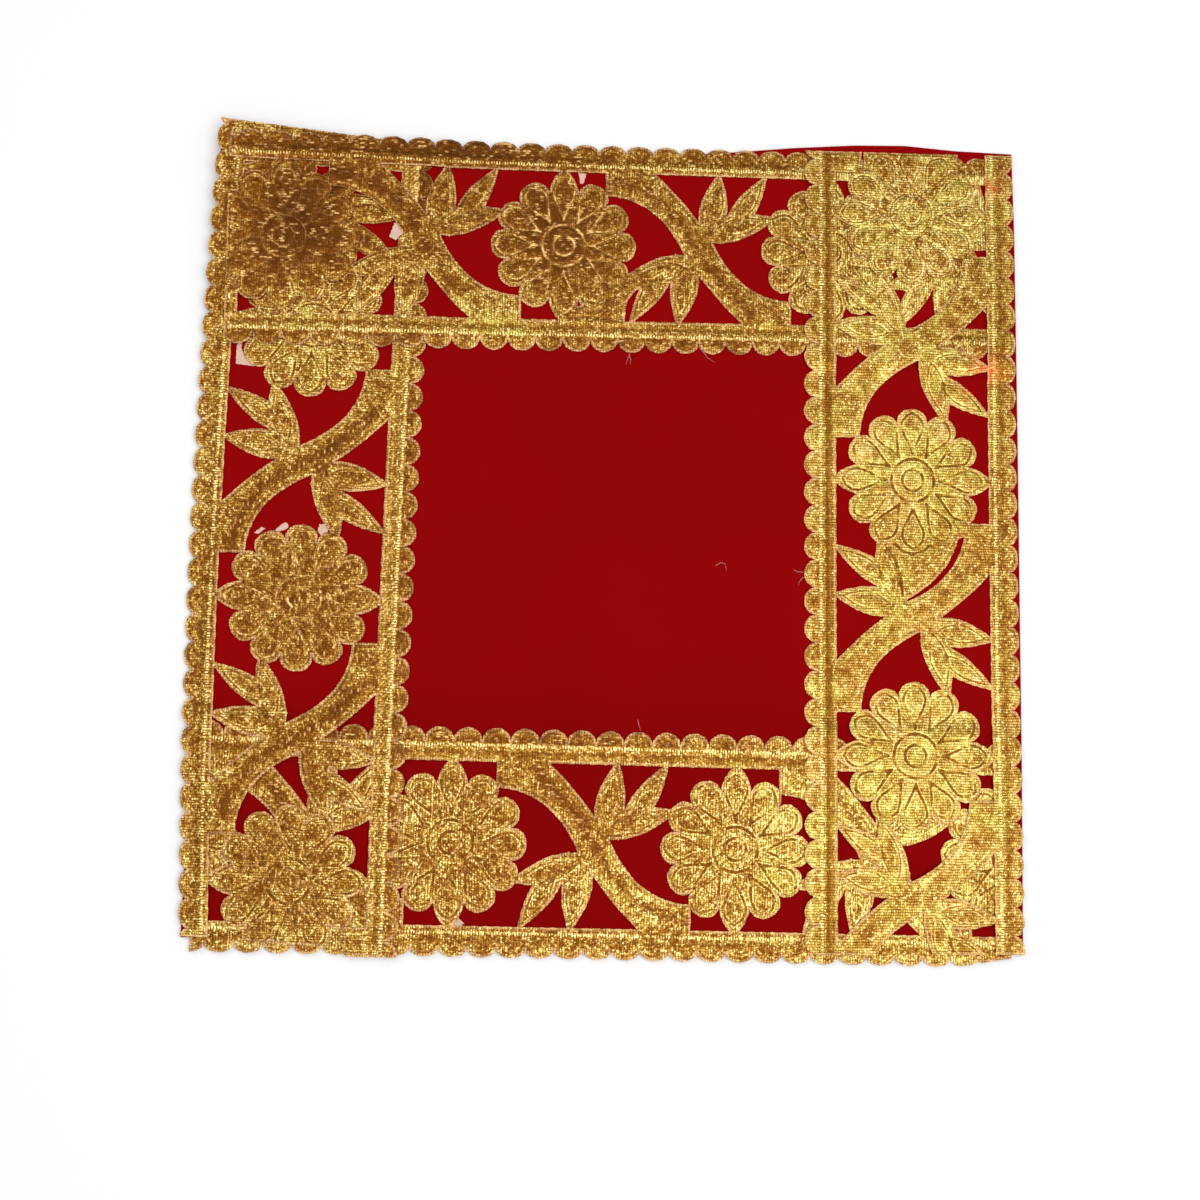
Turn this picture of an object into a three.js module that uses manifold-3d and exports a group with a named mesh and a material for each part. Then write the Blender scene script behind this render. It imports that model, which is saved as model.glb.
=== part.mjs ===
// Altar cloth: a square of red cloth with four lengths of gold cut-work ribbon sewn round its border.
// Millimetres, +Z up. It lies flat on its underside, and the far left corner curls up a little.
import * as THREE from 'three';
import { mergeVertices } from 'three/addons/utils/BufferGeometryUtils.js';
import Module from 'manifold-3d';

const wasm = await Module();
wasm.setup();

// Driving dimensions
const SHEET = 1.0;            // thickness of the cloth and of each ribbon
const CLEARANCE = 0.3;        // air between two sheets that lie on each other
const LAYER = SHEET + CLEARANCE;
const RAMP = 4.5;             // run over which a ribbon climbs onto the one under it
const REPEAT = 95.25;         // one flower and one vine
const OPEN_HALF = 27.1;       // half the height of the open work
const INNER_BAND = 7.1;       // plain band next to the open work, on the side of the red square
const OUTER_BAND = 7.2;       // the same on the outer side
const SCALLOP_PITCH = 9.525;
const SCALLOPS_PER_REPEAT = 10;
const SCALLOP_STEPS = 4;      // straight pieces in one scallop
const INNER_SCALLOP = 4.2;    // how far a scallop stands out of its band
const OUTER_SCALLOP = 2.9;
const OUTER_SCALLOP_SHIFT = -2.8;   // the outer scallops run ahead of the inner ones

const RIBBON_REACH = 155;     // half the length that is laid out before the ends are cut
const ROOT_OVERLAP = 1;       // how far a vine or a leaf runs into the band that holds it

const PETALS = 12;
const PETAL_TIP = 25.3;       // radius of the flower at a petal's tip
const PETAL_VALLEY = 20.2;    // and between two petals
const PETAL_TO_BAND = 27.9;   // radius of the two petals that join the bands
const PETAL_STEPS = [0, 0.14, 0.5, 0.86];   // where a petal's outline has a point, across its width

const CURL_HEIGHT = 5;        // lift of the far left corner
const CURL_LENGTH = 110;      // how far the lift reaches along the diagonal
const CURL_CREASES = 6;
const CORNER = 140;           // half the side of the cloth

const SAME_POINT = 0.002;     // points closer than this are one point
const ON_LINE = 0.02;         // a point this close to a crease lies on it

// The vine's edge, from its root on the inner band to its root on the outer band.
// s runs along the ribbon and t across it, both from the crossing, and the other edge is its half turn.
const VINE_EDGE = {
  start: { s: -16.5, t: OPEN_HALF + ROOT_OVERLAP },
  climb: { s: -4.5, t: 17.5 },
  waist: { s: 5.2, t: 2.2 },
  sweep: { s: 14.5, t: -18.2 },
  root: { s: 33, t: -18.6 },
};
const VINE_STEPS = 5;

// Three leaves spring from the vine on each side of the crossing, the second three half a turn on.
const LEAVES = [
  { base: { s: 3, t: 0 }, tip: { s: 7.6, t: 29 }, width: 10 },
  { base: { s: 8, t: 2 }, tip: { s: 25, t: 28.6 }, width: 8.2 },
  { base: { s: -4, t: 4 }, tip: { s: 28.5, t: 12.4 }, width: 10 },
];
const LEAF_STEPS = 3;
const LEAF_SHAPE = 0.9;       // under 1, a leaf is widest a little nearer its base

// Openings that the punch left closed: the area that stays filled, from the flower's centre.
const WEB_AT_PETALS = [
  { s: -21, t: 11 }, { s: -1, t: 18 },
  { s: -1, t: OPEN_HALF + ROOT_OVERLAP }, { s: -20, t: OPEN_HALF + ROOT_OVERLAP },
];
const WEB_AT_VINE = [
  { s: -14, t: 12 }, { s: -20, t: 13 }, { s: -42, t: 6 }, { s: -44, t: 1 }, { s: -36, t: -10 },
  { s: -26, t: -17 }, { s: -14, t: -19 },
];

// The four ribbons in the order in which they are sewn. turn is the way that s points, in degrees,
// offset the distance of the ribbon's middle from the centre of the cloth, flower the place of one
// flower along s, along and across how far sewing stretched it or drew it in, pull how much more it is
// stretched towards its end, taper how much wider it gets there, swell how much wider it is halfway,
// and bow its sideways bend there. start and end are the two cut ends, each a line of points.
const RIBBONS = [
  {
    name: 'ribbon_bottom', turn: -0.1, offset: -107.1, flower: 42.8, along: 1, across: 1,
    pull: 0, taper: 0, swell: 0, bow: 0,
    start: [{ s: -136, t: -45 }, { s: -136, t: 45 }],
    end: [{ s: 137, t: 45 }, { s: 137, t: -34 }, { s: 110, t: -38.5 }, { s: 110, t: -45 }],
    webs: [],
  },
  {
    name: 'ribbon_left', turn: 269.66, offset: -104.1, flower: 27.4, along: 0.985, across: 0.96,
    pull: 0, taper: -0.02, swell: 0.042, bow: 1.9,
    start: [{ s: -137.4, t: -45 }, { s: -135.2, t: -8 }, { s: -131.8, t: 45 }],
    end: [{ s: 145.2, t: 45 }, { s: 145.2, t: 21 }, { s: 142.6, t: 17 }, { s: 139.4, t: -45 }],
    webs: [],
  },
  {
    name: 'ribbon_top', turn: 181.07, offset: -99.7, flower: 18.4, along: 0.993, across: 0.98,
    pull: 0.018, taper: 0.01, swell: 0, bow: 0,
    start: [{ s: -138.5, t: -45 }, { s: -138.5, t: 45 }],
    end: [{ s: 131.7, t: 45 }, { s: 131.1, t: -45 }],
    webs: [{ flower: 18.4, area: WEB_AT_PETALS }],
  },
  {
    name: 'ribbon_right', turn: 90.54, offset: -103, flower: 19.9, along: 1, across: 0.99,
    pull: 0, taper: 0, swell: 0, bow: 0,
    start: [{ s: -141.2, t: -45 }, { s: -142.4, t: 45 }],
    end: [{ s: 136.9, t: 45 }, { s: 138.2, t: -45 }],
    webs: [{ flower: 19.9, area: WEB_AT_VINE }],
  },
];

// Where a ribbon lies on another one: it is up on the second layer past the line, and down before it.
const CLIMBS = {
  ribbon_bottom: [],
  ribbon_left: [{ axis: 'y', line: -67, up: -1 }],
  ribbon_top: [{ axis: 'x', line: -64.5, up: -1 }],
  ribbon_right: [{ axis: 'y', line: -67, up: -1 }, { axis: 'y', line: 61.5, up: 1 }],
};

// The red square's outline, a little uneven along its far edge.
const CLOTH_OUTLINE = [
  { x: -139.4, y: -139.5 }, { x: 0, y: -139.8 }, { x: 140.9, y: -140.2 }, { x: 140.9, y: -70 },
  { x: 140.3, y: 20 }, { x: 139.4, y: 112 }, { x: 138.6, y: 140.6 }, { x: 118, y: 140.8 },
  { x: 100, y: 141.8 }, { x: 82, y: 141 }, { x: 60, y: 138.9 }, { x: 42, y: 136.6 },
  { x: 20, y: 134 }, { x: -10, y: 132.8 }, { x: -70, y: 132.6 }, { x: -139, y: 134.5 },
];

// A closed prism of an outline, as a solid that can be joined and cut.
function prism(outlinePoints) {
  const outline = outlinePoints.map((p) => new THREE.Vector2(p.x, p.y));
  if (THREE.ShapeUtils.isClockWise(outline)) outline.reverse();
  const raw = new THREE.ExtrudeGeometry(new THREE.Shape(outline), { depth: SHEET, bevelEnabled: false });
  raw.deleteAttribute('normal');
  raw.deleteAttribute('uv');
  const geometry = mergeVertices(raw, 1e-5);
  return new wasm.Manifold(new wasm.Mesh({
    numProp: 3,
    vertProperties: new Float32Array(geometry.attributes.position.array),
    triVerts: new Uint32Array(geometry.index.array),
  }));
}

function ribbonPrism(points) {
  return prism(points.map((p) => ({ x: p.s, y: p.t })));
}

function halfTurn(points) {
  return points.map((p) => ({ s: -p.s, t: -p.t }));
}

function shifted(points, by) {
  return points.map((p) => ({ s: p.s + by, t: p.t }));
}

function flowerOutline() {
  const points = [];
  for (let petal = 0; petal < PETALS; petal += 1) {
    const joinsBand = petal % (PETALS / 2) === PETALS / 4;
    const tip = joinsBand ? PETAL_TO_BAND : PETAL_TIP;
    for (const part of PETAL_STEPS) {
      const angle = ((petal - 0.5 + part) * 2 * Math.PI) / PETALS;
      const bulge = Math.sqrt(1 - (2 * part - 1) ** 2);
      const radius = PETAL_VALLEY + (tip - PETAL_VALLEY) * bulge;
      points.push({ s: radius * Math.cos(angle), t: radius * Math.sin(angle) });
    }
  }
  return points;
}

function vineOutline() {
  const { start, climb, waist, sweep, root } = VINE_EDGE;
  const edge = new THREE.Path();
  edge.moveTo(start.s, start.t);
  edge.quadraticCurveTo(climb.s, climb.t, waist.s, waist.t);
  edge.quadraticCurveTo(sweep.s, sweep.t, root.s, root.t);
  const side = edge.getPoints(VINE_STEPS).map((p) => ({ s: p.x, t: p.y }));
  side.push({ s: root.s, t: -OPEN_HALF - ROOT_OVERLAP });
  return [...side, ...halfTurn(side)];
}

function leafOutline({ base, tip, width }) {
  const along = { s: tip.s - base.s, t: tip.t - base.t };
  const length = Math.hypot(along.s, along.t);
  const side = { s: -along.t / length, t: along.s / length };
  const points = [];
  for (const hand of [1, -1]) {
    for (let step = 0; step < LEAF_STEPS; step += 1) {
      const part = hand > 0 ? step / LEAF_STEPS : 1 - step / LEAF_STEPS;
      const half = (hand * width * Math.sin(Math.PI * part ** LEAF_SHAPE)) / 2;
      points.push({
        s: base.s + along.s * part + side.s * half,
        t: base.t + along.t * part + side.t * half,
      });
    }
  }
  return points;
}

// One edge band with its scallops, from the place given along s.
function bandOutline({ from, count, width, depth }) {
  const base = OPEN_HALF + width;
  const points = [{ s: from, t: OPEN_HALF }];
  for (let scallop = 0; scallop < count; scallop += 1) {
    for (let step = 0; step < SCALLOP_STEPS; step += 1) {
      const angle = (Math.PI * step) / SCALLOP_STEPS;
      points.push({
        s: from + SCALLOP_PITCH * (scallop + (1 - Math.cos(angle)) / 2),
        t: base + depth * Math.sin(angle),
      });
    }
  }
  points.push({ s: from + SCALLOP_PITCH * count, t: base });
  points.push({ s: from + SCALLOP_PITCH * count, t: OPEN_HALF });
  return points;
}

// The flat ribbon along s, before it is turned and laid: flowers, vines and leaves between two bands.
function flatRibbon(ribbon) {
  const flowers = [];
  let flower = (ribbon.flower / ribbon.along) % REPEAT;
  while (flower > -RIBBON_REACH) flower -= REPEAT;
  while (flower < RIBBON_REACH) {
    flowers.push(flower);
    flower += REPEAT;
  }
  const from = flowers[0] - REPEAT / 2;
  const count = flowers.length * SCALLOPS_PER_REPEAT + 1;
  const innerBand = bandOutline({ from, count, width: INNER_BAND, depth: INNER_SCALLOP });
  const outerBand = bandOutline({
    from: from + OUTER_SCALLOP_SHIFT, count, width: OUTER_BAND, depth: OUTER_SCALLOP,
  }).map((p) => ({ s: p.s, t: -p.t }));
  const outlines = [innerBand, outerBand];
  for (const place of flowers) {
    const crossing = place + REPEAT / 2;
    outlines.push(shifted(flowerOutline(), place), shifted(vineOutline(), crossing));
    for (const leaf of LEAVES.map(leafOutline)) {
      outlines.push(shifted(leaf, crossing), shifted(halfTurn(leaf), crossing));
    }
  }
  for (const web of ribbon.webs) outlines.push(shifted(web.area, web.flower / ribbon.along));
  const joined = outlines.map(ribbonPrism).reduce((sum, piece) => sum.add(piece));
  const cut = [...ribbon.start, ...ribbon.end]
    .map((p) => ({ s: p.s / ribbon.along, t: p.t }));
  const loose = joined.intersect(ribbonPrism(cut)).decompose();
  return loose.reduce((largest, piece) => (piece.volume() > largest.volume() ? piece : largest));
}

// The triangles of a prism's upper face, as triples of flat points.
function upperFace(solid) {
  const mesh = solid.getMesh();
  const point = (vertex) => mesh.vertProperties.slice(vertex * mesh.numProp, vertex * mesh.numProp + 3);
  const triangles = [];
  for (let first = 0; first < mesh.triVerts.length; first += 3) {
    const corners = [0, 1, 2].map((step) => point(mesh.triVerts[first + step]));
    if (corners.every((corner) => corner[2] > SHEET / 2)) {
      triangles.push(corners.map((corner) => ({ x: corner[0], y: corner[1] })));
    }
  }
  return triangles;
}

// Turns a flat ribbon point into its place on the cloth.
function placer(ribbon) {
  const angle = THREE.MathUtils.degToRad(ribbon.turn);
  const cos = Math.cos(angle);
  const sin = Math.sin(angle);
  return ({ x: s, y: t }) => {
    const along = s * ribbon.along + (ribbon.pull * s * s) / CORNER;
    const halfway = 1 - (along / CORNER) ** 2;
    const width = ribbon.across + (ribbon.taper * along) / CORNER + ribbon.swell * halfway;
    const across = t * width + ribbon.offset - ribbon.bow * halfway;
    return { x: along * cos - across * sin, y: along * sin + across * cos };
  };
}

// Splits triangles along the line a*x + b*y = c, so that a crease can run there.
function splitAlong(triangles, { a, b, c }) {
  const result = [];
  const side = (p) => {
    const distance = a * p.x + b * p.y - c;
    return Math.abs(distance) < ON_LINE ? 0 : distance;
  };
  const between = (p, q) => {
    const [low, high] = p.x < q.x || (p.x === q.x && p.y < q.y) ? [p, q] : [q, p];
    const part = side(low) / (side(low) - side(high));
    return { x: low.x + (high.x - low.x) * part, y: low.y + (high.y - low.y) * part };
  };
  for (const triangle of triangles) {
    const sides = triangle.map(side);
    if (Math.min(...sides) >= 0 || Math.max(...sides) <= 0) {
      result.push(triangle);
      continue;
    }
    for (const keep of [1, -1]) {
      const outline = [];
      triangle.forEach((corner, index) => {
        const next = triangle[(index + 1) % 3];
        if (side(corner) * keep >= 0) outline.push(corner);
        if (side(corner) * side(next) < 0) outline.push(between(corner, next));
      });
      for (let last = 2; last < outline.length; last += 1) {
        result.push([outline[0], outline[last - 1], outline[last]]);
      }
    }
  }
  return result;
}

// The corner's curl falls off with the square of the distance, in straight steps between creases.
const CURL_LINES = [];
for (let crease = 1; crease <= CURL_CREASES; crease += 1) {
  const reach = (CURL_LENGTH * crease) / CURL_CREASES;
  CURL_LINES.push({ a: Math.SQRT1_2, b: -Math.SQRT1_2, c: reach - CORNER * Math.SQRT2 });
}

function curlAt({ x, y }) {
  const reach = (x - y) * Math.SQRT1_2 + CORNER * Math.SQRT2;
  const step = CURL_LENGTH / CURL_CREASES;
  const heightAt = (crease) => CURL_HEIGHT * Math.max(0, 1 - (crease * step) / CURL_LENGTH) ** 2;
  const place = reach / step;
  if (place >= CURL_CREASES) return 0;
  const crease = Math.max(Math.floor(place), 0);
  return heightAt(crease) + (heightAt(crease + 1) - heightAt(crease)) * (place - crease);
}

function climbLines(name) {
  return CLIMBS[name].flatMap(({ axis, line, up }) => [line, line - up * RAMP]
    .map((c) => ({ a: axis === 'x' ? 1 : 0, b: axis === 'y' ? 1 : 0, c })));
}

function climbAt(name, point) {
  return CLIMBS[name].reduce((height, { axis, line, up }) => {
    const past = ((point[axis] - line) * up) / RAMP + 1;
    return height + LAYER * Math.min(Math.max(past, 0), 1);
  }, 0);
}

// Closes an upper face into a sheet: the same face below it, and a wall round every edge.
function sheet(triangles, heightAt) {
  const points = [];
  const known = new Map();
  const indexOf = (p) => {
    const key = [p.x, p.y].map((value) => Math.round(value / SAME_POINT)).join();
    if (!known.has(key)) {
      known.set(key, points.length);
      points.push(p);
    }
    return known.get(key);
  };
  const faces = triangles.map((triangle) => triangle.map(indexOf))
    .filter(([i, j, k]) => i !== j && j !== k && k !== i);
  const edges = new Set(faces.flatMap(([i, j, k]) => [`${i},${j}`, `${j},${k}`, `${k},${i}`]));
  const count = points.length;
  const index = [];
  for (const [i, j, k] of faces) {
    index.push(i, j, k, i + count, k + count, j + count);
  }
  for (const edge of edges) {
    const [i, j] = edge.split(',').map(Number);
    if (!edges.has(`${j},${i}`)) index.push(i, i + count, j + count, i, j + count, j);
  }
  const positions = [];
  for (const level of [SHEET, 0]) {
    for (const p of points) positions.push(p.x, p.y, heightAt(p) + level);
  }
  const geometry = new THREE.BufferGeometry();
  geometry.setAttribute('position', new THREE.Float32BufferAttribute(positions, 3));
  geometry.setIndex(index);
  geometry.computeVertexNormals();
  return geometry;
}

const redCloth = new THREE.MeshStandardMaterial({ color: 0x8b0508, roughness: 0.6, metalness: 0 });
const goldRibbon = new THREE.MeshStandardMaterial({ color: 0xb8862b, roughness: 0.4, metalness: 0.6 });

const altarCloth = new THREE.Group();

function addPiece(name, geometry, material) {
  const mesh = new THREE.Mesh(geometry, material);
  mesh.name = name;
  altarCloth.add(mesh);
}

const clothFace = CURL_LINES.reduce(splitAlong, upperFace(prism(CLOTH_OUTLINE)));
addPiece('red_cloth', sheet(clothFace, curlAt), redCloth);

for (const ribbon of RIBBONS) {
  const place = placer(ribbon);
  const flat = upperFace(flatRibbon(ribbon)).map((triangle) => triangle.map(place));
  const face = [...climbLines(ribbon.name), ...CURL_LINES].reduce(splitAlong, flat);
  const heightAt = (p) => LAYER + climbAt(ribbon.name, p) + curlAt(p);
  addPiece(ribbon.name, sheet(face, heightAt), goldRibbon);
}

// The origin is the middle of the bounding box, on the face that the cloth rests on.
const box = new THREE.Box3().setFromObject(altarCloth);
altarCloth.position.set(-(box.min.x + box.max.x) / 2, -(box.min.y + box.max.y) / 2, 0);

export default altarCloth;
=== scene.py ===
"""Altar cloth: a square of red cloth with four lengths of gold cut-work ribbon sewn round its border.

It lies flat on a pale surface, seen from above, and its far left corner curls up a little.
Sizes are in millimetres until a mesh is made.
"""
import math
from typing import NamedTuple

import bpy
import numpy as np
from mathutils import Matrix, Vector, kdtree
from mathutils.geometry import delaunay_2d_cdt


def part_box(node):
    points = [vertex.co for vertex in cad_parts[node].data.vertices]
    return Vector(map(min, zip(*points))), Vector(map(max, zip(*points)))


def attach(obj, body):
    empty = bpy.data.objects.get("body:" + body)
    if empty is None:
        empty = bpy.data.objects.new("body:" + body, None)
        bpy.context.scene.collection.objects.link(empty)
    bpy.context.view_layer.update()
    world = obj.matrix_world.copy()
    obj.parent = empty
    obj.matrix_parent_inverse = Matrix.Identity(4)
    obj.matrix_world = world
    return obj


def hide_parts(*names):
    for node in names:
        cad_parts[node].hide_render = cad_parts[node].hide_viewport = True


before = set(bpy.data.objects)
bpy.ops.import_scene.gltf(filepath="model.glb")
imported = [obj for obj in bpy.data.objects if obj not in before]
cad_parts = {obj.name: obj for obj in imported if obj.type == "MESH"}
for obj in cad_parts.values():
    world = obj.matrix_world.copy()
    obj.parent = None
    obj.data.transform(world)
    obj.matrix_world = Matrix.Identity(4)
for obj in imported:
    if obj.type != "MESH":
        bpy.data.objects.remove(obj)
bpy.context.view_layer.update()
MM = 0.001


# Red cloth
# One square of thin, plain red dress fabric, cut from the length, with no hem that shows.
# It lies flat, a little uneven along its far edge, and its far left corner has curled up.
CLOTH_LEFT_X = -139.4
CLOTH_NEAR_Y = -140.2
CLOTH_THICKNESS = 0.5
CLOTH_WAVE = 0.12
CLOTH_CELLS = 150
# Each edge as (place along it, where it runs).
CLOTH_EDGES = {
    "left": ((-139.5, CLOTH_LEFT_X), (134.5, -139.0)),
    "right": ((CLOTH_NEAR_Y, 140.9), (-70, 140.9), (20, 140.3), (112, 139.4), (140.6, 138.6)),
    "near": ((CLOTH_LEFT_X, -139.5), (0, -139.8), (140.9, CLOTH_NEAR_Y)),
    "far": (
        (-139, 134.5), (-70, 132.6), (-10, 132.8), (20, 134), (42, 136.6), (60, 138.9), (82, 141),
        (100, 141.8), (118, 140.8), (138.6, 140.6),
    ),
}
# The edges lean on each other, so a point of the grid finds its place between them in a few rounds.
EDGE_ROUNDS = 3
HALF_SIDE = 140
CURL_HEIGHT = 5
CURL_LENGTH = 110
# Corners sharper than this, in degrees, stay crisp.
FACET_ANGLE = 50

cloth_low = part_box("red_cloth")[0]
SHIFT = Vector((cloth_low[0] / MM - CLOTH_LEFT_X, cloth_low[1] / MM - CLOTH_NEAR_Y))


def edge_at(edge, place):
    places, values = zip(*CLOTH_EDGES[edge])
    return float(np.interp(place, places, values))


def curl(x, y):
    """How far the far left corner's curl lifts a point of the cloth."""
    reach = (x - y) * math.sqrt(0.5) + HALF_SIDE * math.sqrt(2)
    return CURL_HEIGHT * max(0.0, 1 - max(reach, 0.0) / CURL_LENGTH) ** 2


def cloth_top(x, y):
    """The height of the red cloth's upper face, with its slight waves."""
    wave = CLOTH_WAVE * (1 + math.sin(x / 31 + 0.6) * math.cos(y / 27 + 1.1))
    return CLOTH_THICKNESS + wave + curl(x, y)


def on_part(x, y, z):
    """A point of the cloth's own frame, in the part's frame and in metres."""
    return Vector((x + SHIFT.x, y + SHIFT.y, z)) * MM


def only_select(piece):
    bpy.ops.object.select_all(action="DESELECT")
    piece.select_set(True)
    bpy.context.view_layer.objects.active = piece


def thicken(piece, thickness, shares=()):
    """Gives a sheet its thickness downwards from the face that was drawn, or each point its share of it."""
    only_select(piece)
    solid = piece.modifiers.new("thickness", "SOLIDIFY")
    solid.thickness = thickness * MM
    solid.offset = -1
    if shares:
        group = piece.vertex_groups.new(name="thickness")
        for index, share in enumerate(shares):
            group.add([index], share, "REPLACE")
        solid.vertex_group = group.name
    bpy.ops.object.modifier_apply(modifier=solid.name)
    piece.vertex_groups.clear()
    bpy.ops.object.shade_smooth_by_angle(angle=math.radians(FACET_ANGLE))


def srgb(*colour):
    """A colour given in the 0 to 255 of a picture, as the shader wants it."""
    parts = [part / 255 for part in colour]
    return (*(part / 12.92 if part < 0.0405 else ((part + 0.055) / 1.055) ** 2.4 for part in parts), 1.0)


class Nodes:
    """Shorthand for one material's nodes."""

    def __init__(self, name):
        self.material = bpy.data.materials.new(name)
        self.material.use_nodes = True
        self.tree = self.material.node_tree
        self.shader = self.tree.nodes["Principled BSDF"]

    def add(self, kind, **values):
        node = self.tree.nodes.new(kind)
        for name, value in values.items():
            setattr(node, name, value)
        return node

    def feed(self, socket, value):
        """Links a socket to another node's, or sets a constant on it."""
        if isinstance(value, bpy.types.NodeSocket):
            self.tree.links.new(value, socket)
        else:
            socket.default_value = value

    def math(self, operation, *values):
        node = self.add("ShaderNodeMath", operation=operation)
        for socket, value in zip(node.inputs, values):
            self.feed(socket, value)
        return node.outputs[0]

    def times(self, first, *others):
        for other in others:
            first = self.math("MULTIPLY", first, other)
        return first

    def add_to(self, base, extra, share):
        """The base with a share of the extra added."""
        return self.math("MULTIPLY_ADD", extra, share, base)

    def split(self, vector):
        """The first two numbers of a vector."""
        node = self.add("ShaderNodeSeparateXYZ")
        self.feed(node.inputs[0], vector)
        return node.outputs[0], node.outputs[1]

    def ease(self, value, low, high, to_low=0.0, to_high=1.0):
        """Goes smoothly from to_low to to_high while the value goes from low to high."""
        node = self.add("ShaderNodeMapRange", interpolation_type="SMOOTHSTEP")
        for socket, number in zip(node.inputs, (value, low, high, to_low, to_high)):
            self.feed(socket, number)
        return node.outputs[0]

    def mix(self, part, first, second):
        """The first colour, with the second laid over it by a part of one."""
        node = self.add("ShaderNodeMix", data_type="RGBA")
        for place, value in ((0, part), (6, first), (7, second)):
            self.feed(node.inputs[place], value)
        return node.outputs[2]

    def noise(self, vector, scale, detail=2.0):
        node = self.add("ShaderNodeTexNoise")
        self.feed(node.inputs["Vector"], vector)
        self.feed(node.inputs["Scale"], scale)
        self.feed(node.inputs["Detail"], detail)
        return node.outputs[0]

    def bump(self, height, strength, distance):
        node = self.add("ShaderNodeBump")
        self.feed(node.inputs["Strength"], strength)
        self.feed(node.inputs["Distance"], distance)
        self.feed(node.inputs["Height"], height)
        self.feed(self.shader.inputs["Normal"], node.outputs[0])


bpy.ops.object.select_all(action="DESELECT")
bpy.ops.mesh.primitive_grid_add(x_subdivisions=CLOTH_CELLS, y_subdivisions=CLOTH_CELLS, size=2)
red_cloth = bpy.context.object
red_cloth.name = "red_fabric_square"
for vertex in red_cloth.data.vertices:
    across, up = (vertex.co.x + 1) / 2, (vertex.co.y + 1) / 2
    x = y = 0.0
    for _ in range(EDGE_ROUNDS):
        left, right = edge_at("left", y), edge_at("right", y)
        near, far = edge_at("near", x), edge_at("far", x)
        x, y = left + (right - left) * across, near + (far - near) * up
    vertex.co = on_part(x, y, cloth_top(x, y))
thicken(red_cloth, CLOTH_THICKNESS)

# The red has a little painted shade along the near edge, as far as these places in metres, and is uneven all
# over.
RED_MIDDLE = srgb(145, 4, 5)
RED_SHADE = srgb(124, 2, 3)
SHADE_ENDS = (-0.070, -0.045)
SHADE_PART = 0.45
UNEVEN_PART = 0.8
UNEVEN_SCALE = 18
THREAD_PITCH = 0.38
# A wave texture of scale one repeats at this distance.
WAVE_REPEAT = 0.314
red = Nodes("red_plain_weave")
place = red.add("ShaderNodeTexCoord").outputs["Object"]
uneven = red.times(red.noise(place, UNEVEN_SCALE, 3.0), UNEVEN_PART)
tone = red.add_to(uneven, red.ease(red.split(place)[1], *SHADE_ENDS), SHADE_PART)
red.feed(red.shader.inputs["Base Color"], red.mix(tone, RED_SHADE, RED_MIDDLE))
weave = []
for direction in ("X", "Y"):
    wave = red.add("ShaderNodeTexWave", bands_direction=direction)
    red.feed(wave.inputs["Vector"], place)
    red.feed(wave.inputs["Scale"], WAVE_REPEAT / (THREAD_PITCH * MM))
    red.feed(wave.inputs["Distortion"], 0.6)
    weave.append(wave.outputs[1])
red.bump(red.times(*weave), 0.35, 0.0001)
red.shader.inputs["Roughness"].default_value = 0.78
red.shader.inputs["Specular IOR Level"].default_value = 0.02
red_cloth.data.materials.append(red.material)

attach(red_cloth, "root")
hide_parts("red_cloth")


# Near ribbon, and what all four lengths share
# Gold metallic ribbon, 76 mm wide, woven with fine ribs and pressed with a raised pattern. Its open
# work is cut by a punch, which leaves pale edges: flowers with twelve petals between crossing vines.
# s runs along a ribbon and t across it, with t positive towards the red square.
REPEAT = 95.25
SCALLOPS_PER_REPEAT = 10
SCALLOP_PITCH = REPEAT / SCALLOPS_PER_REPEAT
SCALLOP_STEPS = 10
OPEN_HALF = 27.1
INNER_BAND = 7.1
OUTER_BAND = 7.2
INNER_SCALLOP = 4.2
OUTER_SCALLOP = 2.9
OUTER_SCALLOP_SHIFT = -2.8
ROOT_OVERLAP = 1.0
RIBBON_REACH = 155
RIBBON_THICKNESS = 0.55
RIBBON_GAP = 0.06
LAYER_RISE = 0.85
RAMP = 4.5

PETALS = 12
PETAL_TIP = 25.3
PETAL_VALLEY = 20.2
PETAL_TO_BAND = 27.9
PETAL_STEPS = 14
BAND_PETAL_POINT = 1.45
RING_RADII = (3.7, 7.5)
RING_STEPS_PER_MM = 7
# The drop pressed into each petal: where it starts, how far it stays from the tip, and its shape.
LOOP_START = 9.3
LOOP_INSET = 1.4
LOOP_TO_BAND = PETAL_TO_BAND - 1.6
LOOP_HALF_WIDTH = 3.8
LOOP_WIDEST = 1.8
LOOP_ROUNDNESS = 0.75
LOOP_STEPS = 16

# The vine's edge as two curves, each (start, control, end), and its leaves as (base, tip, width).
VINE_CURVES = (
    ((-16.5, OPEN_HALF + ROOT_OVERLAP), (-4.5, 17.5), (5.2, 2.2)),
    ((5.2, 2.2), (14.5, -18.2), (33, -18.6)),
)
VINE_STEPS = 20
LEAVES = (
    ((3, 0), (7.6, 29), 10),
    ((8, 2), (25, 28.6), 8.2),
    ((-4, 4), (28.5, 12.4), 10),
)
LEAF_STEPS = 18
LEAF_SHAPE = 0.9
# The line pressed into a leaf: its width as a share of the leaf's, and where it starts and ends.
LEAF_LINE_WIDTH = 0.58
LEAF_LINE_START = 0.3
LEAF_LINE_END = 0.86
SCALLOP_LINE_INSET = 1.2
SCALLOP_LINE_DEPTH = INNER_SCALLOP - 0.3

GROOVE_HALF = 1.0
GROOVE_DEPTH = 0.3
CHANNEL_HALF = 1.7
CHANNEL_DEPTH = 0.25
INNER_CHANNEL = 29.7
OUTER_CHANNEL = 32.2
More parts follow.
